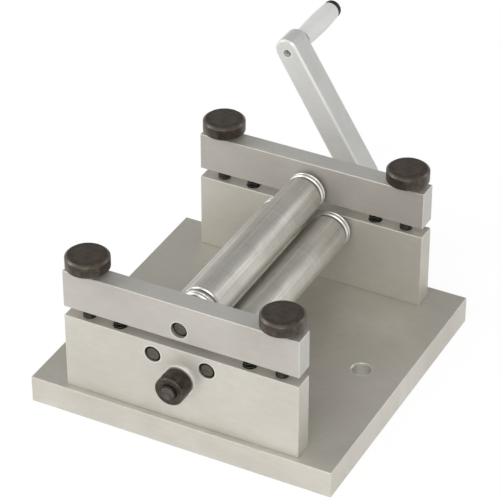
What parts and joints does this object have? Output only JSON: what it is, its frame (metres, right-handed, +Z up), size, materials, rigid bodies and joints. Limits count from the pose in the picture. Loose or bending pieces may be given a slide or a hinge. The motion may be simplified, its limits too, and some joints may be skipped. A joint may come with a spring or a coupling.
{
  "type": "bench bending rolls",
  "caption": "Hand-cranked three-roll bending machine: geared lower rollers in end blocks on a thick base, screw-down top roller in sprung bars, crank with a plastic grip",
  "frame": {"origin": "centre of the base plate's underside", "axes": "+X along the front edge to the right, +Y from the front to the crank, +Z up"},
  "size_m": [0.152, 0.2451, 0.1061],
  "materials": {
    "satin_metal": "satin plated, edges lightly broken",
    "polished_steel": "ground and polished",
    "gear_steel": "machined",
    "shaft_steel": "ground bar",
    "bright_washer": "bright plated",
    "arm_metal": "satin plated",
    "black_steel": "black oxide",
    "spring_steel": "blackened wire",
    "white_plastic": "moulded nylon"
  },
  "bodies": {
    "base": {"base_plate": "satin_metal", "front_block": "satin_metal", "rear_block": "satin_metal", "block_screws": "black_steel", "lift_spring_front_left": "spring_steel", "lift_spring_front_right": "spring_steel", "lift_spring_rear_left": "spring_steel", "lift_spring_rear_right": "spring_steel"},
    "crank": {"drive_shaft": "shaft_steel", "drive_pinion": "gear_steel", "pinion_screw": "black_steel", "shaft_collar": "black_steel", "collar_screw": "black_steel", "thrust_washer": "bright_washer", "crank_arm": "arm_metal", "arm_screw": "black_steel", "grip_screw": "black_steel"},
    "grip": {"grip": "white_plastic"},
    "lower_left": {"lower_roller_left": "polished_steel", "roller_gear_left": "gear_steel", "gear_screw_left": "black_steel"},
    "lower_right": {"lower_roller_right": "polished_steel", "roller_gear_right": "gear_steel", "gear_screw_right": "black_steel"},
    "front_bar": {"front_bar": "satin_metal"},
    "rear_bar": {"rear_bar": "satin_metal"},
    "top_roller": {"top_roller": "polished_steel"},
    "thumbscrew_front_left": {"thumbscrew_front_left": "black_steel"},
    "thumbscrew_front_right": {"thumbscrew_front_right": "black_steel"},
    "thumbscrew_rear_left": {"thumbscrew_rear_left": "black_steel"},
    "thumbscrew_rear_right": {"thumbscrew_rear_right": "black_steel"}
  },
  "joints": [
    {"name": "crank_turn", "type": "hinge", "parent": "base", "child": "crank", "pos_m": [0, 0.06265, 0.0363], "axis": [0, 1, 0], "continuous": true},
    {"name": "grip_spin", "type": "hinge", "parent": "crank", "child": "grip", "pos_m": [-0.03834, 0.13855, 0.09901], "axis": [0, 1, 0], "continuous": true},
    {"name": "lower_left_spin", "type": "hinge", "parent": "base", "child": "lower_left", "pos_m": [-0.0135, 0, 0.0458], "axis": [0, 1, 0], "continuous": true},
    {"name": "lower_right_spin", "type": "hinge", "parent": "base", "child": "lower_right", "pos_m": [0.0135, 0, 0.0458], "axis": [0, 1, 0], "continuous": true},
    {"name": "front_bar_slide", "type": "slide", "parent": "base", "child": "front_bar", "axis": [0, 0, -1], "range_m": [-0.003, 0.0035], "deforming": ["lift_spring_front_left", "lift_spring_front_right"]},
    {"name": "rear_bar_slide", "type": "slide", "parent": "base", "child": "rear_bar", "axis": [0, 0, -1], "range_m": [-0.003, 0.0035], "deforming": ["lift_spring_rear_left", "lift_spring_rear_right"]},
    {"name": "top_roller_spin", "type": "hinge", "parent": "front_bar", "child": "top_roller", "pos_m": [0, 0, 0.06317], "axis": [0, 1, 0], "continuous": true},
    {"name": "thumbscrew_front_left_turn", "type": "hinge", "parent": "front_bar", "child": "thumbscrew_front_left", "pos_m": [-0.048, -0.06625, 0.07627], "axis": [0, 0, -1], "range_deg": [-1080, 1260]},
    {"name": "thumbscrew_front_right_turn", "type": "hinge", "parent": "front_bar", "child": "thumbscrew_front_right", "pos_m": [0.048, -0.06625, 0.07627], "axis": [0, 0, -1], "range_deg": [-1080, 1260]},
    {"name": "thumbscrew_rear_left_turn", "type": "hinge", "parent": "rear_bar", "child": "thumbscrew_rear_left", "pos_m": [-0.048, 0.06265, 0.07627], "axis": [0, 0, -1], "range_deg": [-1080, 1260]},
    {"name": "thumbscrew_rear_right_turn", "type": "hinge", "parent": "rear_bar", "child": "thumbscrew_rear_right", "pos_m": [0.048, 0.06265, 0.07627], "axis": [0, 0, -1], "range_deg": [-1080, 1260]}
  ],
  "couplings": [
    {"joint": "lower_left_spin", "follows": "crank_turn", "ratio": -0.68},
    {"joint": "lower_right_spin", "follows": "crank_turn", "ratio": -0.68},
    {"joint": "rear_bar_slide", "follows": "front_bar_slide", "ratio": 1},
    {"joint": "thumbscrew_front_left_turn", "follows": "front_bar_slide", "rad_per_m": 6283.2},
    {"joint": "thumbscrew_front_right_turn", "follows": "front_bar_slide", "rad_per_m": 6283.2},
    {"joint": "thumbscrew_rear_left_turn", "follows": "front_bar_slide", "rad_per_m": 6283.2},
    {"joint": "thumbscrew_rear_right_turn", "follows": "front_bar_slide", "rad_per_m": 6283.2}
  ]
}
